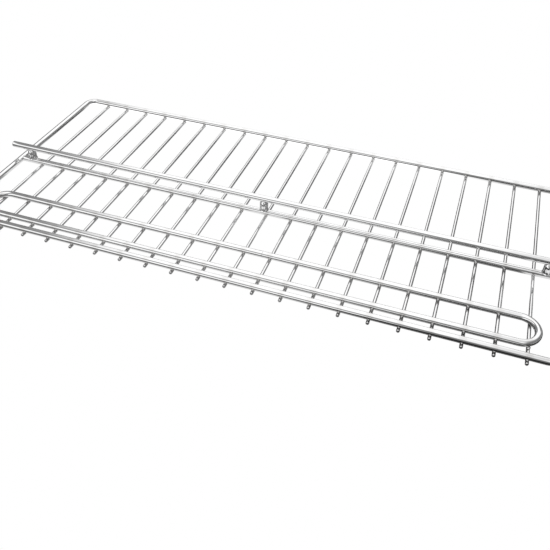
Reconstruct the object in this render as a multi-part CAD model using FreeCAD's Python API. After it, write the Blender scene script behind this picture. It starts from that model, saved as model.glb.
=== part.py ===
import FreeCAD, Part
import os

# Pull-out wire rack for a cabinet: a chromed deck of fine wires welded under a
# rod frame, with a middle rail, a front toe loop and a raised bar on three posts.
# X runs along the rack's width, +Y to its rear, +Z up. All lengths are in mm.
# The origin is under the middle of the whole rack, on the plane it stands on.

# ---- deck wires
WIRE_DIAMETER = 3.0
WIRE_PITCH = 25.0
WIRE_COUNT = 21
WIRE_OVERHANG = 5.0          # past the frame's centre line, front and rear
WIRE_END_ROUND = 0.9

# ---- rods: frame, middle rail, toe loop and raised bar share one diameter
ROD_DIAMETER = 6.0
FRAME_WIDTH = 547.0          # between the side rods' centre lines
FRAME_DEPTH = 242.0          # between the front and rear rods' centre lines
FRAME_CORNER_RADIUS = 10.0   # on the centre line
MIDDLE_RAIL_FROM_FRONT = 103.6
ROD_END_ROUND = 0.8

# ---- toe loop: a closed stadium lying on the deck
LOOP_LENGTH = 513.0          # outermost centre lines, end to end
LOOP_RADIUS = 15.1           # half the distance between its two long runs
LOOP_FROM_FRONT = 28.0       # loop's long axis from the front rod

# ---- raised bar and its posts
BAR_LENGTH = 560.0
BAR_RISE = 15.3              # bar centre above middle rail centre
POST_DIAMETER = 8.0
POST_FROM_MIDDLE = 259.3     # outer posts, either side of the rack's middle
MIDDLE_POST_X = -2.3         # the middle post stands a little to the left

# ---- resistance welds
WIRE_SET_DOWN = 0.4          # how far a rod sinks into each wire it crosses
BUTT_SET_DOWN = 0.5          # how far a butted end sinks into the rod it meets

SHORTEST_RUN = 1e-6          # a path run shorter than this is left out

# ---- derived positions
WIRE_RADIUS = WIRE_DIAMETER / 2
ROD_RADIUS = ROD_DIAMETER / 2
POST_RADIUS = POST_DIAMETER / 2
WIRE_Z = WIRE_RADIUS
ROD_Z = WIRE_DIAMETER - WIRE_SET_DOWN + ROD_RADIUS
BAR_Z = ROD_Z + BAR_RISE
FRONT_Y = -FRAME_DEPTH / 2
REAR_Y = FRAME_DEPTH / 2
MIDDLE_Y = FRONT_Y + MIDDLE_RAIL_FROM_FRONT
LOOP_Y = FRONT_Y + LOOP_FROM_FRONT
SIDE_X = FRAME_WIDTH / 2

X_AXIS = FreeCAD.Vector(1, 0, 0)
Y_AXIS = FreeCAD.Vector(0, 1, 0)
Z_AXIS = FreeCAD.Vector(0, 0, 1)


def straight_rod(start, axis, length, radius):
    """A plain round bar from start along axis."""
    return Part.makeCylinder(radius, length, FreeCAD.Vector(*start), axis)


def rounded_ends(rod, axis, size):
    """The same bar with both end rims rounded over."""
    def is_rim(edge):
        curve = edge.Curve
        return isinstance(curve, Part.Circle) and abs(curve.Axis.dot(axis)) > 0.999

    return rod.makeFillet(size, [edge for edge in rod.Edges if is_rim(edge)])


def swept_ring(path, profile_centre, profile_axis, radius):
    """A round rod bent along a closed path and welded end to end."""
    circle = Part.Circle(FreeCAD.Vector(*profile_centre), profile_axis, radius)
    profile = Part.Wire([circle.toShape()])
    return path.makePipeShell([profile], True, False)


def rounded_rectangle(half_x, y_front, y_rear, radius, z):
    """Closed path: straight runs joined by quarter bends, starting mid-front."""
    def point(x, y):
        return FreeCAD.Vector(x, y, z)

    def bend(corner, start, end):
        middle = corner + (start - corner + end - corner).normalize() * radius
        return Part.Arc(start, middle, end).toShape()

    inner_x = half_x - radius
    low_y = y_front + radius
    high_y = y_rear - radius
    bends = [
        (point(inner_x, low_y), point(inner_x, y_front), point(half_x, low_y)),
        (point(inner_x, high_y), point(half_x, high_y), point(inner_x, y_rear)),
        (point(-inner_x, high_y), point(-inner_x, y_rear), point(-half_x, high_y)),
        (point(-inner_x, low_y), point(-half_x, low_y), point(-inner_x, y_front)),
    ]
    edges = []
    last = point(0, y_front)
    for corner, start, end in bends:
        if (start - last).Length > SHORTEST_RUN:
            edges.append(Part.makeLine(last, start))
        edges.append(bend(corner, start, end))
        last = end
    edges.append(Part.makeLine(last, point(0, y_front)))
    return Part.Wire(edges)


def frame():
    """The rod all round the deck, lying on the wires."""
    path = rounded_rectangle(SIDE_X, FRONT_Y, REAR_Y, FRAME_CORNER_RADIUS, ROD_Z)
    return swept_ring(path, (0, FRONT_Y, ROD_Z), X_AXIS, ROD_RADIUS)


def toe_loop():
    """The flat stadium behind the front rod that stops whatever stands on the deck."""
    front_run = LOOP_Y - LOOP_RADIUS
    rear_run = LOOP_Y + LOOP_RADIUS
    path = rounded_rectangle(LOOP_LENGTH / 2, front_run, rear_run, LOOP_RADIUS, ROD_Z)
    return swept_ring(path, (0, front_run, ROD_Z), X_AXIS, ROD_RADIUS)


def middle_rail(frame_solid):
    """Cross rod on the wires, butt welded between the frame's side rods."""
    half = SIDE_X - ROD_RADIUS + BUTT_SET_DOWN
    rail = straight_rod((-half, MIDDLE_Y, ROD_Z), X_AXIS, 2 * half, ROD_RADIUS)
    return rail.cut(frame_solid)


def raised_bar():
    """Straight bar over the middle rail; its ends pass the frame on both sides."""
    bar = straight_rod((-BAR_LENGTH / 2, MIDDLE_Y, BAR_Z), X_AXIS, BAR_LENGTH, ROD_RADIUS)
    return rounded_ends(bar, X_AXIS, ROD_END_ROUND)


def post(x, rail_solid, bar_solid):
    """Short stand-off, its ends shaped to the rail below and the bar above."""
    low = ROD_Z + ROD_RADIUS - BUTT_SET_DOWN
    high = BAR_Z - ROD_RADIUS + BUTT_SET_DOWN
    blank = straight_rod((x, MIDDLE_Y, low), Z_AXIS, high - low, POST_RADIUS)
    return blank.cut(rail_solid).cut(bar_solid)


def deck_wire(x, crossing_rods):
    """One fine wire from front to rear, with a seat pressed in under each rod."""
    start = FRONT_Y - WIRE_OVERHANG
    length = FRAME_DEPTH + 2 * WIRE_OVERHANG
    wire = straight_rod((x, start, WIRE_Z), Y_AXIS, length, WIRE_RADIUS)
    wire = rounded_ends(wire, Y_AXIS, WIRE_END_ROUND)
    for rod in crossing_rods:
        wire = wire.cut(rod)
    return wire


def save(name, shape):
    """Write one named solid."""
    solid = shape.Solids[0]
    assert len(shape.Solids) == 1 and solid.isValid(), name
    solid.exportStep("parts/%s.step" % name)


def build():
    """Make every sub-part and write it to its own file."""
    os.makedirs("parts", exist_ok=True)
    frame_solid = frame()
    loop_solid = toe_loop()
    rail_solid = middle_rail(frame_solid)
    bar_solid = raised_bar()
    save("frame", frame_solid)
    save("toe_loop", loop_solid)
    save("middle_rail", rail_solid)
    save("raised_bar", bar_solid)

    post_places = {
        "post_left": -POST_FROM_MIDDLE,
        "post_middle": MIDDLE_POST_X,
        "post_right": POST_FROM_MIDDLE,
    }
    for name, x in post_places.items():
        save(name, post(x, rail_solid, bar_solid))

    first_x = -WIRE_PITCH * (WIRE_COUNT - 1) / 2
    crossing_rods = [frame_solid, rail_solid, loop_solid]
    for index in range(WIRE_COUNT):
        wire = deck_wire(first_x + index * WIRE_PITCH, crossing_rods)
        save("deck_wire_%02d" % (index + 1), wire)


build()
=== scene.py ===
"""Chromed pull-out wire rack: the finished look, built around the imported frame.

Every length is in metres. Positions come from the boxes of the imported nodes, so each
piece lies where its solid does.
"""

from __future__ import annotations

import logging
import math
import random
from dataclasses import dataclass
from enum import Enum
from typing import Callable

import bmesh
import bpy
from bmesh.types import BMEdge, BMesh, BMVert
from bpy.types import Material, Node, NodeSocket, NodeTree, Object
from mathutils import Matrix, Vector

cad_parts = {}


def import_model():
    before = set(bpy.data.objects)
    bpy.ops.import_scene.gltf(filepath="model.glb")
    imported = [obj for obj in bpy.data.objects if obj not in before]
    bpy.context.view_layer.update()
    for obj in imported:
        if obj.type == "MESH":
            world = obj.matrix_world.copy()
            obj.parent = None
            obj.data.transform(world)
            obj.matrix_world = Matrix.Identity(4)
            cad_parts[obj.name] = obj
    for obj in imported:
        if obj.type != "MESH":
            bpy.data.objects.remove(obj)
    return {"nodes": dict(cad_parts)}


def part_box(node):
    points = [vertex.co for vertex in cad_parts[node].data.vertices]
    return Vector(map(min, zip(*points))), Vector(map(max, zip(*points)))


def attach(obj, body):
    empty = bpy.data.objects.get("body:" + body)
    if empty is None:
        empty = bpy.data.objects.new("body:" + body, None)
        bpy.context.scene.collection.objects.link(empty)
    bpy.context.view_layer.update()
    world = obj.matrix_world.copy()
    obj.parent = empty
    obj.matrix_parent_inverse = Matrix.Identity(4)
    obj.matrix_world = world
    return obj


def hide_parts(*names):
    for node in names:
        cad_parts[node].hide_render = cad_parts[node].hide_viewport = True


LOG = logging.getLogger("wire_rack")
BODY = "root"
RUN_MAP = "run"
X_AXIS = Vector((1.0, 0.0, 0.0))
Y_AXIS = Vector((0.0, 1.0, 0.0))
Z_AXIS = Vector((0.0, 0.0, 1.0))
QUARTER = math.pi / 2
MM = 0.001
MERGE_DISTANCE = 0.001 * MM
NOISE_ROUGHNESS = 0.55

FRAME_CORNER = 10 * MM

# Where the closed rods were welded shut: along X on the loop, along Y on the frame.
LOOP_SEAM = 18 * MM
FRAME_SEAM = 52 * MM

POST_NODES = ("post_left", "post_middle", "post_right")

# The deck wires lie at every whole pitch from the middle, and none beyond the span.
WIRE_PITCH = 25 * MM
WIRE_SPAN = 256 * MM

# Stands for the distance to a weld where there is none.
FAR_OFF = 1.0

# Upright but for a hair, so that its cross product with Z still has a direction.
NEARLY_UP = Vector((1e-6, 0.0, 1.0))

# The rods whose crossings put a dull ring on the wires, and which side of its box each runs
# along. The ring is partly the tint that welding leaves and partly painted shade under the rod,
# and the frame's rear side has none.
CROSS_RODS = (
    ("frame", -1),
    ("toe_loop", -1),
    ("toe_loop", 1),
    ("middle_rail", 0),
)

Colour = tuple[float, float, float, float]
Triple = tuple[float, float, float]
Pair = tuple[float, float]
RunMap = Callable[[Vector], Pair]


class Slot(Enum):
    """The record's finish slots."""

    ROD = "rod_plating"
    POST = "post_plating"
    WIRE = "wire_plating"


# ---- shader helpers


def add_node(tree: NodeTree, kind: str, **settings: object) -> Node:
    """Add a node and set its plain attributes.

    Args:
        tree: the tree that takes the node.
        kind: the node's type name.
        **settings: attributes to set on it.

    Returns:
        The new node.
    """
    node = tree.nodes.new(kind)
    for name, value in settings.items():
        setattr(node, name, value)
    return node


def feed(tree: NodeTree, target: NodeSocket, source: object) -> None:
    """Link a socket, or set a plain value, on an input.

    Args:
        tree: the tree that holds both.
        target: the input socket.
        source: an output socket, or the value itself.
    """
    if isinstance(source, NodeSocket):
        tree.links.new(source, target)
    else:
        target.default_value = source


def maths(tree: NodeTree, operation: str, *terms: object) -> NodeSocket:
    """Add a Math node on the given terms.

    Args:
        tree: the tree that takes the node.
        operation: the Math node's operation.
        *terms: sockets or numbers, in order.

    Returns:
        The result's socket.
    """
    node = add_node(tree, "ShaderNodeMath", operation=operation)
    for socket, term in zip(node.inputs, terms):
        feed(tree, socket, term)
    return node.outputs[0]


def ramp(
    tree: NodeTree,
    value: object,
    low: object,
    high: object,
    to_low: object = 0.0,
    to_high: object = 1.0,
    smooth: bool = True,
) -> NodeSocket:
    """Map a value from one range to another, clamped.

    Args:
        tree: the tree that takes the node.
        value: the socket or number to map.
        low: the value that becomes to_low.
        high: the value that becomes to_high.
        to_low: the result at low.
        to_high: the result at high.
        smooth: eased at both ends if true.

    Returns:
        The mapped value's socket.
    """
    node = add_node(tree, "ShaderNodeMapRange", clamp=True)
    node.interpolation_type = "SMOOTHSTEP" if smooth else "LINEAR"
    for socket, term in zip(node.inputs, (value, low, high, to_low, to_high)):
        feed(tree, socket, term)
    return node.outputs[0]


def multiply(tree: NodeTree, first: object, *others: object) -> NodeSocket:
    """Multiply two or more terms.

    Args:
        tree: the tree that takes the nodes.
        first: the first socket or number.
        *others: the rest.

    Returns:
        The product's socket.
    """
    for other in others:
        first = maths(tree, "MULTIPLY", first, other)
    return first


def white_to_camera(tree: NodeTree, grey: object) -> NodeSocket:
    """Give a strength that is white to the camera and the grey to reflections."""
    seen = add_node(tree, "ShaderNodeLightPath").outputs["Is Camera Ray"]
    return ramp(tree, seen, 0.0, 1.0, grey, 1.0, False)


def noise(tree: NodeTree, vector: object, scale: object, detail: float) -> NodeSocket:
    """Add a noise texture.

    Args:
        tree: the tree that takes the node.
        vector: the coordinate socket.
        scale: waves per metre.
        detail: octaves.

    Returns:
        The noise value's socket.
    """
    node = add_node(tree, "ShaderNodeTexNoise")
    feed(tree, node.inputs["Vector"], vector)
    feed(tree, node.inputs["Scale"], scale)
    node.inputs["Detail"].default_value = detail
    node.inputs["Roughness"].default_value = NOISE_ROUGHNESS
    return node.outputs[0]


def stretch(
    tree: NodeTree, vector: object, scale: Triple, turn: Triple = (0.0, 0.0, 0.0)
) -> NodeSocket:
    """Scale a coordinate, one factor to each axis, and then turn it.

    Args:
        tree: the tree that takes the node.
        vector: the coordinate socket.
        scale: the factors.
        turn: the angles about X, Y and Z, in radians.

    Returns:
        The new coordinate's socket.
    """
    node = add_node(tree, "ShaderNodeMapping")
    feed(tree, node.inputs["Vector"], vector)
    node.inputs["Scale"].default_value = scale
    node.inputs["Rotation"].default_value = turn
    return node.outputs[0]


def blend_colour(tree: NodeTree, factor: object, first: object, second: object) -> NodeSocket:
    """Mix two colours.

    Args:
        tree: the tree that takes the node.
        factor: 0 for the first colour, 1 for the second.
        first: the first colour.
        second: the second colour.

    Returns:
        The mixed colour's socket.
    """
    node = add_node(tree, "ShaderNodeMix", data_type="RGBA")
    feed(tree, node.inputs["Factor"], factor)
    feed(tree, node.inputs["A"], first)
    feed(tree, node.inputs["B"], second)
    return node.outputs["Result"]


def new_material(name: str) -> Material:
    """Start a material with an empty tree.

    Args:
        name: the material's name.

    Returns:
        The material.
    """
    made = bpy.data.materials.new(name)
    made.use_nodes = True
    made.node_tree.nodes.clear()
    return made


def put_out(tree: NodeTree, shader: Node, kind: str) -> None:
    """Send a shader to a new output node of the kind Material or World."""
    output = add_node(tree, f"ShaderNodeOutput{kind}")
    tree.links.new(shader.outputs[0], output.inputs["Surface"])


def new_group(
    name: str, inputs: dict[str, tuple[str, object]], outputs: dict[str, str]
) -> tuple[NodeTree, Node, Node]:
    """Start a shader node group with named sockets.

    Args:
        name: the group's name.
        inputs: socket name to (type, default), the default None for a vector.
        outputs: socket name to type.

    Returns:
        The group's tree, its input node and its output node.
    """
    tree = bpy.data.node_groups.new(name, "ShaderNodeTree")
    for label, (kind, default) in inputs.items():
        socket = tree.interface.new_socket(name=label, in_out="INPUT", socket_type=kind)
        if default is not None:
            socket.default_value = default
    for label, kind in outputs.items():
        tree.interface.new_socket(name=label, in_out="OUTPUT", socket_type=kind)
    return tree, add_node(tree, "NodeGroupInput"), add_node(tree, "NodeGroupOutput")


def place_group(tree: NodeTree, group: NodeTree, **values: object) -> Node:
    """Put a group in a material with its own values.

    Args:
        tree: the material's tree.
        group: the group to place.
        **values: input name to a socket or value.

    Returns:
        The group node.
    """
    node = add_node(tree, "ShaderNodeGroup", node_tree=group)
    for label, value in values.items():
        feed(tree, node.inputs[label], value)
    return node


# ---- finishes


class PlatingEffects:
    """The shader groups that the platings share, built once.

    Scales are in waves per metre, along and round a rod where there are three. Edges are
    the noise values between which a mark fades in.
    """

    CLOUD_SCALE = 28.0
    CLOUD_EDGE = (0.38, 0.66)
    MOTTLE_SCALE = 900.0
    MOTTLE_EDGE = (0.35, 0.7)
    DRAWN_SCALE = (14.0, 2600.0, 1.0)
    DRAWN_SHARE = 0.35
    DRAWN_EDGE = (0.56, 0.74)
    RIPPLE_SCALE = (70.0, 240.0, 1.0)
    SCRATCH_TURN = (0.3, 0.5, 0.7)
    SCRATCH_SCALE = (900.0, 90.0, 900.0)
    SCRATCH_EDGE = (0.68, 0.76)
    SPOT_SCALE = 420.0
    SPOT_EDGE = (0.70, 0.78)
    HALO_SCALE = 350.0
    HALO_SPREAD = (1.2, 0.4)
    HALO_START = 0.8 * MM
    HALO_REACH = 4.5 * MM

    def __init__(self) -> None:
        """Build the four groups."""
        self.haze = self._haze()
        self.drawing = self._drawing()
        self.handling = self._handling()
        self.halo = self._halo()

    def _haze(self) -> NodeTree:
        """Build the haze of plating: one broad cloud and one fine mottling.

        Returns:
            The group, with a Cloud mask and a Mottle mask.
        """
        tree, given, result = new_group(
            "plating_haze",
            {
                "Vector": ("NodeSocketVector", None),
                "Cloud Scale": ("NodeSocketFloat", self.CLOUD_SCALE),
                "Mottle Scale": ("NodeSocketFloat", self.MOTTLE_SCALE),
            },
            {"Cloud": "NodeSocketFloat", "Mottle": "NodeSocketFloat"},
        )
        cloud = noise(tree, given.outputs["Vector"], given.outputs["Cloud Scale"], detail=4.0)
        mottle = noise(tree, given.outputs["Vector"], given.outputs["Mottle Scale"], detail=2.0)
        feed(tree, result.inputs["Cloud"], ramp(tree, cloud, *self.CLOUD_EDGE))
        feed(tree, result.inputs["Mottle"], ramp(tree, mottle, *self.MOTTLE_EDGE))
        return tree

    def _drawing(self) -> NodeTree:
        """Build the faint lines that drawing leaves along a rod, under its plating.

        Returns:
            The group, with a Height for a bump and a Line mask.
        """
        tree, given, result = new_group(
            "drawing_lines",
            {
                "Run": ("NodeSocketVector", None),
                "Fineness": ("NodeSocketFloat", 1.0),
                "Ripple": ("NodeSocketFloat", 0.5),
            },
            {"Height": "NodeSocketFloat", "Line": "NodeSocketFloat"},
        )
        run = given.outputs["Run"]
        drawn = stretch(tree, run, self.DRAWN_SCALE)
        fine = noise(tree, drawn, given.outputs["Fineness"], detail=2.0)
        wave = noise(tree, stretch(tree, run, self.RIPPLE_SCALE), 1.0, detail=2.0)
        lifted = multiply(tree, wave, given.outputs["Ripple"])
        height = maths(tree, "MULTIPLY_ADD", fine, self.DRAWN_SHARE, lifted)
        feed(tree, result.inputs["Height"], height)
        feed(tree, result.inputs["Line"], ramp(tree, fine, *self.DRAWN_EDGE))
        return tree

    def _handling(self) -> NodeTree:
        """Build the hair scratches and small dull spots of use.

        Returns:
            The group, with a Scratch mask and a Spot mask.
        """
        tree, given, result = new_group(
            "handling_marks",
            {
                "Vector": ("NodeSocketVector", None),
                "Density": ("NodeSocketFloat", 1.0),
            },
            {"Scratch": "NodeSocketFloat", "Spot": "NodeSocketFloat"},
        )
        place = given.outputs["Vector"]
        slanted = stretch(tree, place, self.SCRATCH_SCALE, self.SCRATCH_TURN)
        hair = noise(tree, slanted, given.outputs["Density"], detail=1.0)
        spots = noise(tree, place, self.SPOT_SCALE, detail=1.0)
        feed(tree, result.inputs["Scratch"], ramp(tree, hair, *self.SCRATCH_EDGE))
        feed(tree, result.inputs["Spot"], ramp(tree, spots, *self.SPOT_EDGE))
        return tree

    def _halo(self) -> NodeTree:
        """Build the dull, darker, warm ring round a crossing: partly the tint that welding
        leaves, partly painted shade where a wire passes under a rod.

        Returns:
            The group, with a Halo mask from the distance to the weld.
        """
        tree, given, result = new_group(
            "weld_tint_and_shade_halo",
            {
                "Vector": ("NodeSocketVector", None),
                "Distance": ("NodeSocketFloat", FAR_OFF),
                "Reach": ("NodeSocketFloat", self.HALO_REACH),
            },
            {"Halo": "NodeSocketFloat"},
        )
        uneven = noise(tree, given.outputs["Vector"], self.HALO_SCALE, detail=2.0)
        spread = maths(tree, "MULTIPLY_ADD", uneven, *self.HALO_SPREAD)
        reach = multiply(tree, given.outputs["Reach"], spread)
        halo = ramp(tree, given.outputs["Distance"], self.HALO_START, reach, 1.0, 0.0)
        feed(tree, result.inputs["Halo"], halo)
        return tree


class Crossings(Enum):
    """Where a rod is welded: nowhere, at every deck wire, or under every cross rod."""

    NONE = "none"
    AT_WIRES = "at_wires"
    AT_RODS = "at_rods"


@dataclass(frozen=True)
class Plating:
    """One plated surface, from mirror bright to dull.

    Fields are colours, roughness at its best and where it is hazed, the depths of the
    drawing lines and the mottling, and where it is welded. The shares say how much each
    effect dulls or warms the plate.
    """

    name: str
    bright: Colour = (0.83, 0.83, 0.83, 1.0)
    dull: Colour = (0.72, 0.72, 0.725, 1.0)
    best_roughness: float = 0.03
    hazed_roughness: float = 0.11
    drawing_depth: float = 0.04
    mottle_depth: float = 0.01
    ripple: float = 1.5
    fineness: float = 1.0
    crossings: Crossings = Crossings.NONE
    # The warm, darker tint of the ring round a crossing: partly the tint that welding leaves,
    # partly painted shade where a wire passes under a rod.
    weld_tint_and_shade: Colour = (0.62, 0.605, 0.58, 1.0)
    cloud_share: float = 0.6
    wear_share: float = 0.4
    halo_share: float = 0.5
    line_share: float = 0.25
    tint_and_shade_share: float = 0.3
    relief: float = 0.05 * MM

    def weld_distance(self, tree: NodeTree, place: NodeSocket) -> NodeSocket | float:
        """Measure the distance to the nearest weld.

        Args:
            tree: the material's tree.
            place: the object coordinate.

        Returns:
            The distance's socket, or a number where the rod has no welds.
        """
        if self.crossings is Crossings.NONE:
            return FAR_OFF
        split = add_node(tree, "ShaderNodeSeparateXYZ")
        feed(tree, split.inputs[0], place)
        if self.crossings is Crossings.AT_WIRES:
            across = split.outputs[0]
            beyond = maths(tree, "GREATER_THAN", maths(tree, "ABSOLUTE", across), WIRE_SPAN)
            return maths(tree, "ADD", beyond, maths(tree, "PINGPONG", across, WIRE_PITCH / 2))
        nearest: object = FAR_OFF
        for node, side in CROSS_RODS:
            low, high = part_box(node)
            half_depth, radius = (high.y - low.y) / 2, (high.z - low.z) / 2
            line = (low.y + high.y) / 2 + side * (half_depth - radius)
            away = maths(tree, "ABSOLUTE", maths(tree, "SUBTRACT", split.outputs[1], line))
            nearest = maths(tree, "MINIMUM", nearest, away)
        return nearest

    def material(self, effects: PlatingEffects) -> Material:
        """Build the finish as a material.

        Args:
            effects: the shared shader groups.

        Returns:
            The material.
        """
        made = new_material(self.name)
        tree = made.node_tree
        shader = add_node(tree, "ShaderNodeBsdfPrincipled")
        put_out(tree, shader, "Material")
        shader.inputs["Metallic"].default_value = 1.0
        place = add_node(tree, "ShaderNodeTexCoord").outputs["Object"]
        run = add_node(tree, "ShaderNodeUVMap", uv_map=RUN_MAP).outputs[0]
        haze = place_group(tree, effects.haze, Vector=place)
        drawing = place_group(
            tree, effects.drawing, Run=run, Fineness=self.fineness, Ripple=self.ripple
        )
        marks = place_group(tree, effects.handling, Vector=place)
        worn = maths(tree, "MAXIMUM", marks.outputs["Scratch"], marks.outputs["Spot"])
        worn = multiply(tree, worn, self.wear_share)
        # The ring round each crossing dulls, darkens and warms the plate: partly the tint that
        # welding leaves, partly painted shade where a wire passes under a rod.
        welded = place_group(
            tree, effects.halo, Vector=place, Distance=self.weld_distance(tree, place)
        )
        halo = welded.outputs["Halo"]
        dulled = maths(tree, "MULTIPLY_ADD", haze.outputs["Cloud"], self.cloud_share, worn)
        dulled = maths(tree, "MULTIPLY_ADD", halo, self.halo_share, dulled)
        rough = ramp(tree, dulled, 0.0, 1.0, self.best_roughness, self.hazed_roughness, False)
        feed(tree, shader.inputs["Roughness"], rough)
        shade = maths(tree, "MULTIPLY_ADD", drawing.outputs["Line"], self.line_share, dulled)
        plate = blend_colour(tree, shade, self.bright, self.dull)
        tinted_and_shaded = multiply(tree, halo, self.tint_and_shade_share)
        feed(tree, shader.inputs["Base Color"], blend_colour(tree, tinted_and_shaded, plate, self.weld_tint_and_shade))
        drawn = multiply(tree, drawing.outputs["Height"], self.drawing_depth)
        mottle = haze.outputs["Mottle"]
        height = maths(tree, "MULTIPLY_ADD", mottle, self.mottle_depth, drawn)
        bump = add_node(tree, "ShaderNodeBump")
        bump.inputs["Distance"].default_value = self.relief
        bump.inputs["Strength"].default_value = 1.0
        feed(tree, bump.inputs["Height"], height)
        tree.links.new(bump.outputs[0], shader.inputs["Normal"])
        return made


# ---- rod making


@dataclass(frozen=True)
class RoundedRun:
    """A rounded rectangle on the deck, the centre line that a closed rod follows."""

    centre: Vector
    half_length: float
    half_depth: float
    corner: float

    def inner(self) -> Pair:
        """Give the half length and half depth of the rectangle of bend centres."""
        return self.half_length - self.corner, self.half_depth - self.corner

    def legs(self) -> list[tuple[Vector, float, Vector]]:
        """List the four straight legs, anticlockwise from the front one.

        Returns:
            For each leg its direction, its length, and the centre of the bend after it.
        """
        x, y = self.inner()
        return [
            (X_AXIS, 2 * x, self.centre + Vector((x, -y, 0))),
            (Y_AXIS, 2 * y, self.centre + Vector((x, y, 0))),
            (-X_AXIS, 2 * x, self.centre + Vector((-x, y, 0))),
            (-Y_AXIS, 2 * y, self.centre + Vector((-x, -y, 0))),
        ]

    def start(self) -> Vector:
        """Give the point where the front leg begins."""
        return self.centre + Vector((self.corner - self.half_length, -self.half_depth, 0))

    def locate(self, point: Vector) -> tuple[float, Vector]:
        """Find the nearest place on the centre line.

        Args:
            point: any point near the rod.

        Returns:
            The distance run from the start, and the outward direction there.
        """
        x, y = self.inner()
        off = point - self.centre
        bend = QUARTER * self.corner
        starts = [0.0, 2 * x + bend, 2 * x + 2 * y + 2 * bend, 4 * x + 2 * y + 3 * bend]
        if abs(off.x) > x and abs(off.y) > y:
            corner = (0 if off.y < 0 else 1) if off.x > 0 else (3 if off.y < 0 else 2)
            way, length, centre = self.legs()[corner]
            out = Vector((point.x - centre.x, point.y - centre.y, 0)).normalized()
            angle = math.acos(max(-1.0, min(1.0, out.dot(way.cross(Z_AXIS)))))
            return starts[corner] + length + angle * self.corner, out
        if self.half_depth - abs(off.y) < self.half_length - abs(off.x):
            out = Vector((0, math.copysign(1.0, off.y), 0))
            return (off.x + x if off.y < 0 else starts[2] + x - off.x), out
        out = Vector((math.copysign(1.0, off.x), 0, 0))
        return (starts[1] + off.y + y if off.x > 0 else starts[3] + y - off.y), out


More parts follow.
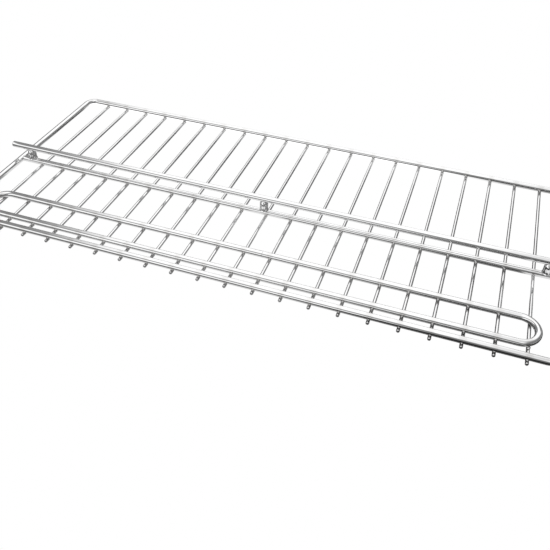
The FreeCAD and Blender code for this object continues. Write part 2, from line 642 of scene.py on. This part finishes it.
@dataclass
class RodShop:
    """Makes rods, beads and pins with mesh operators, and dresses them as pieces.

    Finishes are the materials by name. A rod's end edge is rounded in end_segments, and
    each bend has bend_steps.
    """

    finishes: dict[str, Material]
    end_segments: int = 4
    bend_steps: int = 14

    def straight(
        self,
        mesh: BMesh,
        start: Vector,
        end: Vector,
        radius: float,
        rounding: float,
        sides: int,
        cuts: int,
    ) -> None:
        """Add a straight rod with rounded ends.

        Args:
            mesh: the mesh that takes it.
            start: the centre of one end face.
            end: the centre of the other.
            radius: the rod's radius.
            rounding: the radius at the ends' edges.
            sides: faces around the rod.
            cuts: rings between its ends.
        """
        way = end - start
        turn = Z_AXIS.rotation_difference(way).to_matrix().to_4x4()
        bmesh.ops.create_cone(
            mesh,
            cap_ends=True,
            segments=sides,
            radius1=radius,
            radius2=radius,
            depth=way.length,
            matrix=Matrix.Translation((start + end) / 2) @ turn,
        )
        long_edges = [e for e in mesh.edges if e.calc_length() > way.length / 2]
        bmesh.ops.subdivide_edges(mesh, edges=long_edges, cuts=cuts, use_grid_fill=True)
        caps = [f for f in mesh.faces if len(f.verts) == sides]
        rims = [e for f in caps for e in f.edges]
        bmesh.ops.bevel(
            mesh,
            geom=rims,
            offset=rounding,
            offset_type="OFFSET",
            affect="EDGES",
            segments=self.end_segments,
            profile=0.5,
            material=-1,
        )

    def closed(
        self, mesh: BMesh, run: RoundedRun, radius: float, sides: int, step: float
    ) -> None:
        """Add a rod that follows a closed run.

        Args:
            mesh: the mesh that takes it.
            run: its centre line.
            radius: the rod's radius.
            sides: faces around the rod.
            step: the length of one ring along the straights.
        """
        place = Matrix.Translation(run.start()) @ Matrix.Rotation(QUARTER, 4, "Y")
        ring = bmesh.ops.create_circle(mesh, segments=sides, radius=radius, matrix=place)["verts"]
        edges = sorted({e for v in ring for e in v.link_edges}, key=lambda e: e.index)
        for way, length, bend in run.legs():
            count = max(1, round(length / step)) if length > MERGE_DISTANCE else 0
            for _ in range(count):
                grown = bmesh.ops.extrude_edge_only(mesh, edges=edges)["geom"]
                verts = [g for g in grown if isinstance(g, BMVert)]
                edges = [g for g in grown if isinstance(g, BMEdge)]
                bmesh.ops.translate(mesh, verts=verts, vec=way * length / count)
            spun = bmesh.ops.spin(
                mesh,
                geom=edges,
                cent=bend,
                axis=Z_AXIS,
                angle=QUARTER,
                steps=self.bend_steps,
                use_merge=False,
            )["geom_last"]
            edges = [g for g in spun if isinstance(g, BMEdge)]
        bmesh.ops.remove_doubles(mesh, verts=mesh.verts, dist=MERGE_DISTANCE)

    @staticmethod
    def bead(mesh: BMesh, centre: Vector, size: Triple, tilt: float, around: int) -> None:
        """Add one rounded bead of weld metal.

        Args:
            mesh: the mesh that takes it.
            centre: its middle.
            size: its half sizes.
            tilt: its turn about the upright, in radians.
            around: faces round it.
        """
        bmesh.ops.create_uvsphere(
            mesh,
            u_segments=around,
            v_segments=around // 2,
            radius=1.0,
            matrix=Matrix.Translation(centre)
            @ Matrix.Rotation(tilt, 4, "Z")
            @ Matrix.Diagonal((*size, 1.0)),
        )

    @staticmethod
    def turned(mesh: BMesh, outline: list[Pair], foot: Vector, sides: int) -> None:
        """Spin an outline about an upright axis into a closed pin.

        Args:
            mesh: the mesh that takes it.
            outline: (radius, height) pairs from the foot's centre to the top's centre.
            foot: where the axis stands.
            sides: faces around the pin.
        """
        verts = [mesh.verts.new(foot + Vector((r, 0, h))) for r, h in outline]
        edges = [mesh.edges.new(pair) for pair in zip(verts, verts[1:])]
        bmesh.ops.spin(
            mesh,
            geom=[*verts, *edges],
            cent=foot,
            axis=Z_AXIS,
            angle=2 * math.pi,
            steps=sides,
            use_merge=True,
        )
        bmesh.ops.remove_doubles(mesh, verts=mesh.verts, dist=MERGE_DISTANCE)

    @staticmethod
    def map_run(mesh: BMesh, where: RunMap, radius: float) -> None:
        """Lay the map that runs along a rod and round it, in metres.

        Args:
            mesh: the rod's mesh.
            where: gives a point's distance along the rod and its angle round it.
            radius: the rod's radius.
        """
        layer = mesh.loops.layers.uv.new(RUN_MAP)
        for face in mesh.faces:
            _, middle = where(face.calc_center_median())
            for loop in face.loops:
                along, angle = where(loop.vert.co)
                angle = middle + math.remainder(angle - middle, 2 * math.pi)
                loop[layer].uv = (along, angle * radius)

    def piece(
        self,
        mesh: BMesh,
        name: str,
        slot: Slot,
        finishes: list[str],
        replaced: list[str],
    ) -> Object:
        """Turn a finished mesh into a piece of the rack.

        Args:
            mesh: the mesh, which is freed.
            name: the piece's name.
            slot: its finish slot in the record, not used.
            finishes: its materials' names, in slot order.
            replaced: the nodes it stands for.

        Returns:
            The piece's object.
        """
        bmesh.ops.recalc_face_normals(mesh, faces=mesh.faces)
        for face in mesh.faces:
            face.smooth = True
        data = bpy.data.meshes.new(name)
        mesh.to_mesh(data)
        mesh.free()
        for finish in finishes:
            data.materials.append(self.finishes[finish])
        made = bpy.data.objects.new(name, data)
        bpy.context.scene.collection.objects.link(made)
        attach(made, BODY)
        if replaced:
            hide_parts(*replaced)
        return made


def straight_map(start: Vector, way: Vector) -> RunMap:
    """Give the along-and-round measure of a straight rod.

    Args:
        start: a point on its axis.
        way: its unit direction.

    Returns:
        A function from a point to its distance along the rod and angle round it.
    """
    side = way.cross(Z_AXIS).normalized()
    up = side.cross(way)

    def where(point: Vector) -> Pair:
        """Measure one point."""
        away = point - start
        return away.dot(way), math.atan2(away.dot(up), away.dot(side))

    return where


def closed_map(run: RoundedRun) -> RunMap:
    """Give the along-and-round measure of a closed rod.

    Args:
        run: its centre line.

    Returns:
        A function from a point to its distance along the rod and angle round it.
    """

    def where(point: Vector) -> Pair:
        """Measure one point.

        Args:
            point: a point on the rod.

        Returns:
            Its distance along the rod and its angle round it.
        """
        along, out = run.locate(point)
        off = point - run.centre
        flat = Vector((off.x, off.y, 0))
        x, y = run.inner()
        if abs(off.x) <= x or abs(off.y) <= y:
            away = flat.dot(out) - (run.half_depth if out.y else run.half_length)
        else:
            bend = Vector((math.copysign(x, off.x), math.copysign(y, off.y), 0))
            away = (flat - bend).dot(out) - run.corner
        return along, math.atan2(off.z, away)

    return where


# ---- sub-assemblies


@dataclass
class ClosedRod:
    """A rod bent flat on the wires and butt welded: the outer frame, or the toe loop.

    Its corner is the bends' radius. Without one, the ends are half circles.
    """

    shop: RodShop
    node: str
    corner: float | None = None
    sides: int = 28
    ring_step: float = 9 * MM

    def __post_init__(self) -> None:
        """Read the rod's place."""
        low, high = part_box(self.node)
        self.radius = (high.z - low.z) / 2
        half_length = (high.x - low.x) / 2 - self.radius
        half_depth = (high.y - low.y) / 2 - self.radius
        corner = self.corner or half_depth
        self.run = RoundedRun((low + high) / 2, half_length, half_depth, corner)

    def build(self) -> Object:
        """Build and dress the rod.

        Returns:
            The rod's piece.
        """
        mesh = bmesh.new()
        self.shop.closed(mesh, self.run, self.radius, self.sides, self.ring_step)
        self.shop.map_run(mesh, closed_map(self.run), self.radius)
        return self.shop.piece(mesh, f"{self.node}_rod", Slot.ROD, ["rod_chrome"], [self.node])


@dataclass
class StraightRail:
    """A straight rod across the rack: the middle rail, or the raised bar.

    A face is part of an open end if it looks along the rod by more than end_facing.
    """

    shop: RodShop
    node: str
    open_ends: bool = False
    rounding: float = 0.8 * MM
    end_facing: float = 0.5
    sides: int = 28
    cuts: int = 70

    def __post_init__(self) -> None:
        """Read the rail's place."""
        low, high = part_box(self.node)
        self.radius = (high.z - low.z) / 2
        middle = (low + high) / 2
        self.start = Vector((low.x, middle.y, middle.z))
        self.end = Vector((high.x, middle.y, middle.z))

    def build(self) -> Object:
        """Build and dress the rail.

        Returns:
            The rail's piece.
        """
        mesh = bmesh.new()
        self.shop.straight(
            mesh, self.start, self.end, self.radius, self.rounding, self.sides, self.cuts
        )
        self.shop.map_run(mesh, straight_map(self.start, X_AXIS), self.radius)
        finishes = ["rod_chrome"]
        if self.open_ends:
            finishes = ["bar_chrome", "cut_end_chrome"]
            for face in mesh.faces:
                face.material_index = int(abs(face.normal.x) > self.end_facing)
        return self.shop.piece(mesh, f"{self.node}_rod", Slot.ROD, finishes, [self.node])


@dataclass
class Posts:
    """The three short posts between the middle rail and the raised bar.

    The weld at the foot is given by (height, share of the swell) pairs, and the shoulder
    by (depth under the top, narrowing) pairs. The sole is the flat share of the radius.
    """

    shop: RodShop
    sides: int = 28
    sole: float = 0.9
    swell: float = 0.45 * MM
    weld: tuple[Pair, ...] = (
        (0.2 * MM, 0.9),
        (0.5 * MM, 1.0),
        (0.75 * MM, 0.8),
        (1.0 * MM, 0.3),
        (1.3 * MM, 0.0),
    )
    shoulder: tuple[Pair, ...] = (
        (2.2 * MM, 0.0),
        (1.9 * MM, 0.08 * MM),
        (1.4 * MM, 0.3 * MM),
        (0.9 * MM, 0.7 * MM),
        (0.4 * MM, 1.1 * MM),
        (0.0, 1.3 * MM),
    )

    def outline(self, radius: float, height: float) -> list[Pair]:
        """Draw the half outline that a post is turned from.

        Args:
            radius: the post's radius.
            height: its height.

        Returns:
            (radius, height) pairs from the foot's centre to the top's centre.
        """
        return [
            (0.0, 0.0),
            (radius * self.sole, 0.0),
            *((radius + self.swell * share, up) for up, share in self.weld),
            (radius, height / 2),
            *((radius - narrowing, height - down) for down, narrowing in self.shoulder),
            (0.0, height),
        ]

    def build(self) -> list[Object]:
        """Build and dress the posts with their weld fillets.

        Returns:
            The three posts' pieces.
        """
        made = []
        for node in POST_NODES:
            low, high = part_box(node)
            radius = (high.x - low.x) / 2
            foot = Vector(((low.x + high.x) / 2, (low.y + high.y) / 2, low.z))
            mesh = bmesh.new()
            self.shop.turned(mesh, self.outline(radius, high.z - low.z), foot, self.sides)
            self.shop.map_run(mesh, straight_map(foot, NEARLY_UP), radius)
            # The posts take the paler plate, a painted highlight on the same chrome.
            made.append(self.shop.piece(mesh, f"{node}_pin", Slot.POST, ["post_chrome_painted_bright"], [node]))
        return made


@dataclass
class DeckWires:
    """The thin wires from front to rear that everything lies on, each a little bowed.

    A face is part of a cut end if it looks along the wire by more than end_facing.
    """

    shop: RodShop
    nodes: list[str]
    seed: int = 41
    rounding: float = 0.9 * MM
    bow: float = 0.10 * MM
    end_facing: float = 0.8
    sides: int = 16
    cuts: int = 24

    def build(self) -> list[Object]:
        """Build and dress the wires.

        Returns:
            The wires' pieces, in their nodes' order.
        """
        rng = random.Random(self.seed)
        made = []
        for node in self.nodes:
            low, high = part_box(node)
            radius = (high.x - low.x) / 2
            middle = (low + high) / 2
            start = Vector((middle.x, low.y, middle.z))
            end = Vector((middle.x, high.y, middle.z))
            mesh = bmesh.new()
            self.shop.straight(mesh, start, end, radius, self.rounding, self.sides, self.cuts)
            self.shop.map_run(mesh, straight_map(start, Y_AXIS), radius)
            sway, phase = rng.uniform(-self.bow, self.bow), rng.uniform(0.0, math.pi)
            for vert in mesh.verts:
                share = (vert.co.y - start.y) / (end.y - start.y)
                turn = math.pi * share
                vert.co.x += sway * math.sin(turn) * math.cos(2 * turn + phase)
            for face in mesh.faces:
                face.material_index = int(abs(face.normal.y) > self.end_facing)
            finishes = ["wire_chrome", "cut_end_chrome"]
            made.append(self.shop.piece(mesh, f"{node}_drawn", Slot.WIRE, finishes, [node]))
        return made


@dataclass
class WeldBeads:
    """The beads of weld metal at every crossing, and the collars at the butts.

    The bead is its half sizes. Its growth, shift and tilt are how far one bead may differ
    from the next, and it sits its sinkage below the wire's top.
    """

    shop: RodShop
    seed: int = 7
    bead: Triple = (1.75 * MM, 2.0 * MM, 0.75 * MM)
    growth: float = 0.12
    shift: float = 0.15 * MM
    tilt: float = 0.15
    sinkage: float = 0.2 * MM
    rail_collar: Triple = (1.7 * MM, 3.5 * MM, 3.2 * MM)
    rail_inset: float = 0.2 * MM
    seam_width: float = 0.9 * MM
    seam_radius: float = 3.12 * MM
    bead_sides: int = 12
    collar_sides: int = 24

    def row(self, name: str, y: float, wires: list[str], rng: random.Random) -> Object:
        """Build one row of beads, where a cross rod lies on the wires.

        Args:
            name: the piece's name.
            y: the cross rod's centre line.
            wires: the wires' nodes.
            rng: the source of the small differences.

        Returns:
            The row as one piece.
        """
        across, along, up = self.bead
        mesh = bmesh.new()
        for node in wires:
            low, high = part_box(node)
            grown = rng.uniform(1 - self.growth, 1 + self.growth)
            shifted = y + rng.uniform(-self.shift, self.shift)
            centre = Vector(((low.x + high.x) / 2, shifted, high.z - self.sinkage))
            size = (across, along * grown, up * grown)
            tilt = rng.uniform(-self.tilt, self.tilt)
            self.shop.bead(mesh, centre, size, tilt, self.bead_sides)
        return self.shop.piece(mesh, name, Slot.ROD, ["weld_chrome"], [])

    def collars(self, name: str, spots: list[Vector], size: Triple) -> Object:
        """Build weld collars that stand a little proud of a rod.

        Args:
            name: the piece's name.
            spots: the centre of each collar, on its rod's axis.
            size: their half sizes.

        Returns:
            The collars as one piece.
        """
        mesh = bmesh.new()
        for spot in spots:
            self.shop.bead(mesh, spot, size, 0.0, self.collar_sides)
        return self.shop.piece(mesh, name, Slot.ROD, ["weld_chrome"], [])

    def build(
        self, frame: RoundedRun, loop: RoundedRun, rail: StraightRail, wires: list[str]
    ) -> list[Object]:
        """Build the five rows of beads and the three sets of collars.

        Args:
            frame: the frame's centre line.
            loop: the toe loop's centre line.
            rail: the middle rail.
            wires: the wires' nodes.

        Returns:
            The eight pieces.
        """
        rng = random.Random(self.seed)
        rows = {
            "front": frame.centre.y - frame.half_depth,
            "loop_front": loop.centre.y - loop.half_depth,
            "loop_rear": loop.centre.y + loop.half_depth,
            "middle": rail.start.y,
            "rear": frame.centre.y + frame.half_depth,
        }
        made = [self.row(f"{name}_weld_beads", y, wires, rng) for name, y in rows.items()]
        inset = X_AXIS * self.rail_inset
        butts = [rail.start + inset, rail.end - inset]
        on_loop = Vector((LOOP_SEAM, rows["loop_rear"], loop.centre.z))
        on_frame = Vector((frame.centre.x + frame.half_length, FRAME_SEAM, frame.centre.z))
        proud, width = self.seam_radius, self.seam_width
        made.append(self.collars("middle_rail_end_welds", butts, self.rail_collar))
        made.append(self.collars("toe_loop_seam", [on_loop], (width, proud, proud)))
        made.append(self.collars("frame_seam", [on_frame], (proud, width, proud)))
        return made


# ---- studio


@dataclass(frozen=True)
class Camera:
    """The camera: where it stands and how it is turned, in degrees."""

    place: Triple = (0.16584, -0.50294, 0.38353)
    azimuth: float = 17.69
    elevation: float = 41.80
    roll: float = 1.872
    lens: float = 43.06
    sensor: float = 36.0
    clip: Pair = (0.01, 50.0)

    def build(self) -> None:
        """Make the scene's camera."""
        data = bpy.data.cameras.new("camera")
        data.lens, data.sensor_width = self.lens, self.sensor
        data.clip_start, data.clip_end = self.clip
        made = bpy.data.objects.new("camera", data)
        bpy.context.scene.collection.objects.link(made)
        turn, dip, roll = map(math.radians, (self.azimuth, self.elevation, self.roll))
        ahead = Vector(
            (-math.sin(turn) * math.cos(dip), math.cos(turn) * math.cos(dip), -math.sin(dip))
        )
        right = Vector((math.cos(turn), math.sin(turn), 0.0))
        up = right.cross(ahead)
        across = right * math.cos(roll) + up * math.sin(roll)
        upright = up * math.cos(roll) - right * math.sin(roll)
        made.matrix_world = Matrix(
            (
                (across.x, upright.x, -ahead.x, self.place[0]),
                (across.y, upright.y, -ahead.y, self.place[1]),
                (across.z, upright.z, -ahead.z, self.place[2]),
                (0.0, 0.0, 0.0, 1.0),
            )
        )
        bpy.context.scene.camera = made


@dataclass(frozen=True)
class Room:
    """The room that the chrome reflects: a broad soft light, a fill and a strip.

    Lights are set out by direction: across, ahead and above are its X, Y and Z parts. A
    pair is where a light or shade begins and where it is full, or, if its name ends in
    _off, where it starts to fade and where it is gone.
    """

    grey: float = 0.16
    ceiling: float = 0.14
    ceiling_above: Pair = (0.0, 0.7)
    main_light: float = 1.05
    main_centre: Triple = (0.499, 0.469, 0.729)
    main_nearness: Pair = (0.14, 0.42)
    left_across: Pair = (-0.57, -0.42)
    right_off: Pair = (0.30, 0.70)
    rear_right_across: Pair = (0.08, 0.26)
    rear_right_ahead: Pair = (0.70, 0.77)
    top_right: float = 0.5
    top_right_across: Pair = (0.0, 0.2)
    top_right_above: Pair = (0.7, 0.9)
    fill_light: float = 0.10
    front_across_off: Pair = (-0.12, 0.05)
    front_ahead_off: Pair = (-0.1, 0.25)
    strip_light: float = 1.05
    strip_tilt: Triple = (0.539, 0.0, 0.842)
    strip_middle: float = 0.035
    strip_off: Pair = (0.12, 0.27)

    def build(self) -> None:
        """Make the room."""
        world = bpy.data.worlds.new("studio")
        bpy.context.scene.world = world
        world.use_nodes = True
        tree = world.node_tree
        tree.nodes.clear()
        way = add_node(tree, "ShaderNodeTexCoord").outputs["Generated"]
        split = add_node(tree, "ShaderNodeSeparateXYZ")
        feed(tree, split.inputs[0], way)
        across, ahead, above = split.outputs
        left_edge = ramp(tree, across, *self.left_across)
        front = multiply(
            tree,
            ramp(tree, across, *self.front_across_off, 1.0, 0.0),
            ramp(tree, ahead, *self.front_ahead_off, 1.0, 0.0),
        )
        main = self._main(tree, way, (across, ahead, above), left_edge)
        off = maths(tree, "SUBTRACT", self._toward(tree, way, self.strip_tilt), self.strip_middle)
        off = maths(tree, "ABSOLUTE", off)
        strip = multiply(tree, ramp(tree, off, *self.strip_off, 1.0, 0.0), front)
        rest = maths(tree, "SUBTRACT", 1.0, main)
        light = ramp(tree, above, *self.ceiling_above, self.grey, self.grey + self.ceiling)
        for patch, strength in (
            (main, self.main_light),
            (multiply(tree, front, left_edge, rest), self.fill_light),
            (multiply(tree, strip, rest), self.strip_light),
        ):
            light = maths(tree, "MULTIPLY_ADD", patch, strength, light)
        shader = add_node(tree, "ShaderNodeBackground")
        shader.inputs["Color"].default_value = (1.0, 1.0, 1.0, 1.0)
        feed(tree, shader.inputs["Strength"], white_to_camera(tree, light))
        put_out(tree, shader, "World")

    def _main(
        self,
        tree: NodeTree,
        way: NodeSocket,
        parts: tuple[NodeSocket, NodeSocket, NodeSocket],
        left_edge: NodeSocket,
    ) -> NodeSocket:
        """Shape the broad light, which is cut off at its sides.

        Args:
            tree: the world's tree.
            way: the direction looked in.
            parts: its three parts' sockets.
            left_edge: where the light ends at the left.

        Returns:
            How much of the light is seen that way, from 0 to 1.
        """
        across, ahead, above = parts
        lobe = self._toward(tree, way, self.main_centre)
        rear_right = multiply(
            tree,
            ramp(tree, across, *self.rear_right_across),
            ramp(tree, ahead, *self.rear_right_ahead),
        )
        top_right = multiply(
            tree,
            ramp(tree, across, *self.top_right_across, 0.0, self.top_right),
            ramp(tree, above, *self.top_right_above),
        )
        return multiply(
            tree,
            ramp(tree, lobe, *self.main_nearness),
            left_edge,
            ramp(tree, across, *self.right_off, 1.0, 0.0),
            maths(tree, "SUBTRACT", 1.0, rear_right),
            maths(tree, "SUBTRACT", 1.0, top_right),
        )

    @staticmethod
    def _toward(tree: NodeTree, way: NodeSocket, centre: Triple) -> NodeSocket:
        """Measure how nearly a direction points at a lamp's centre.

        Args:
            tree: the world's tree.
            way: the direction looked in.
            centre: the unit direction of the lamp's centre.

        Returns:
            The cosine of the angle between them.
        """
        node = add_node(tree, "ShaderNodeVectorMath", operation="DOT_PRODUCT")
        feed(tree, node.inputs[0], way)
        node.inputs[1].default_value = centre
        return node.outputs["Value"]


@dataclass(frozen=True)
class Floor:
    """The plain white sweep that the rack stands on.

    What the chrome reflects of it is greyer. The first greys go by how steeply it is met:
    facing is 0 from straight above and 1 along the floor. Shades then multiply them from
    place to place, each in full by the end of its edge, and those in depth are (start,
    end, factor) along Y. The cards are pale patches in front of the posts, fading from
    one half size to the next.
    """

    size: float = 8.0
    steep: float = 0.80
    dark: float = 0.14
    steep_facing: Pair = (0.12, 0.55)
    shallow: float = 0.22
    shallow_facing: Pair = (0.68, 1.0)
    right_slant: float = -0.3
    right_edge: Pair = (0.06, 0.24)
    right_shade: float = 0.24
    depth_shades: tuple[Triple, ...] = (
        (-0.11, 0.0, 1.2),
        (0.02, 0.05, 0.35),
        (0.10, 0.115, 5.0),
    )
    front_edge: Pair = (-0.128, -0.120)
    front_right_edge: Pair = (0.03, 0.14)
    front_right_shade: float = 0.6
    card_light: float = 0.85
    card_before: float = 13 * MM
    card_across: Pair = (13 * MM, 23 * MM)
    card_ahead: Pair = (12 * MM, 18 * MM)

    def build(self) -> None:
        """Lay the floor."""
        mesh = bmesh.new()
        bmesh.ops.create_grid(mesh, x_segments=2, y_segments=2, size=self.size / 2)
        data = bpy.data.meshes.new("floor")
        mesh.to_mesh(data)
        mesh.free()
        floor = bpy.data.objects.new("floor", data)
        bpy.context.scene.collection.objects.link(floor)
        data.materials.append(self._paper())

    def _paper(self) -> Material:
        """Make the floor's material.

        Returns:
            The material.
        """
        made = new_material("floor_paper")
        tree = made.node_tree
        split = add_node(tree, "ShaderNodeSeparateXYZ")
        feed(tree, split.inputs[0], add_node(tree, "ShaderNodeTexCoord").outputs["Object"])
        x, y, _ = split.outputs
        facing = add_node(tree, "ShaderNodeLayerWeight").outputs["Facing"]
        grey = ramp(tree, facing, *self.steep_facing, self.steep, self.dark)
        far = ramp(tree, facing, *self.shallow_facing, 0.0, self.shallow)
        grey = maths(tree, "ADD", grey, far)
        slanted = maths(tree, "MULTIPLY_ADD", y, self.right_slant, x)
        shades = [ramp(tree, slanted, *self.right_edge, 1.0, self.right_shade)]
        shades += [ramp(tree, y, start, end, 1.0, by) for start, end, by in self.depth_shades]
        front_right = multiply(
            tree,
            ramp(tree, y, *self.front_edge, 1.0, 0.0),
            ramp(tree, x, *self.front_right_edge, 0.0, self.front_right_shade),
        )
        grey = multiply(tree, grey, *shades, maths(tree, "SUBTRACT", 1.0, front_right))
        for node in POST_NODES:
            low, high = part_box(node)
            line = (low.y + high.y) / 2 - self.card_before
            aside = maths(tree, "ABSOLUTE", maths(tree, "SUBTRACT", x, (low.x + high.x) / 2))
            ahead = maths(tree, "ABSOLUTE", maths(tree, "SUBTRACT", y, line))
            card = multiply(
                tree,
                ramp(tree, aside, *self.card_across, self.card_light, 0.0),
                ramp(tree, ahead, *self.card_ahead, 1.0, 0.0),
            )
            grey = maths(tree, "MAXIMUM", grey, card)
        shader = add_node(tree, "ShaderNodeEmission")
        feed(tree, shader.inputs["Strength"], white_to_camera(tree, grey))
        put_out(tree, shader, "Material")
        return made


# ---- the whole rack


FINISHES = (
    Plating("rod_chrome", crossings=Crossings.AT_WIRES),
    Plating("bar_chrome"),
    Plating("wire_chrome", fineness=1.6, drawing_depth=0.05, crossings=Crossings.AT_RODS),
    # The posts' plate is paler than the rods': a painted highlight that makes the same chrome
    # look lit.
    Plating("post_chrome_painted_bright", bright=(0.95, 0.95, 0.95, 1.0), dull=(0.86, 0.86, 0.865, 1.0)),
    Plating("weld_chrome", best_roughness=0.14, hazed_roughness=0.3, mottle_depth=0.8),
    Plating(
        "cut_end_chrome",
        bright=(0.5, 0.5, 0.5, 1.0),
        dull=(0.32, 0.32, 0.32, 1.0),
        best_roughness=0.25,
        hazed_roughness=0.45,
        mottle_depth=1.5,
    ),
)


def main() -> None:
    """Load the frame, build the rack and the studio, and log each piece's face count."""
    logging.basicConfig(level=logging.INFO, format="%(message)s")
    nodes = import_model()["nodes"]
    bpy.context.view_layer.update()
    effects = PlatingEffects()
    shop = RodShop({finish.name: finish.material(effects) for finish in FINISHES})
    wires = sorted(node for node in nodes if node.startswith("deck_wire_"))
    frame = ClosedRod(shop, "frame", FRAME_CORNER)
    loop = ClosedRod(shop, "toe_loop")
    rail = StraightRail(shop, "middle_rail")
    pieces = [
        frame.build(),
        loop.build(),
        rail.build(),
        StraightRail(shop, "raised_bar", open_ends=True).build(),
        *Posts(shop).build(),
        *DeckWires(shop, wires).build(),
        *WeldBeads(shop).build(frame.run, loop.run, rail, wires),
    ]
    for piece in pieces:
        LOG.info("%s: %d faces", piece.name, len(piece.data.polygons))
    bpy.context.scene.view_settings.view_transform = "Standard"
    Camera().build()
    Room().build()
    Floor().build()
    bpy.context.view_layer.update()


if __name__ == "__main__":
    main()
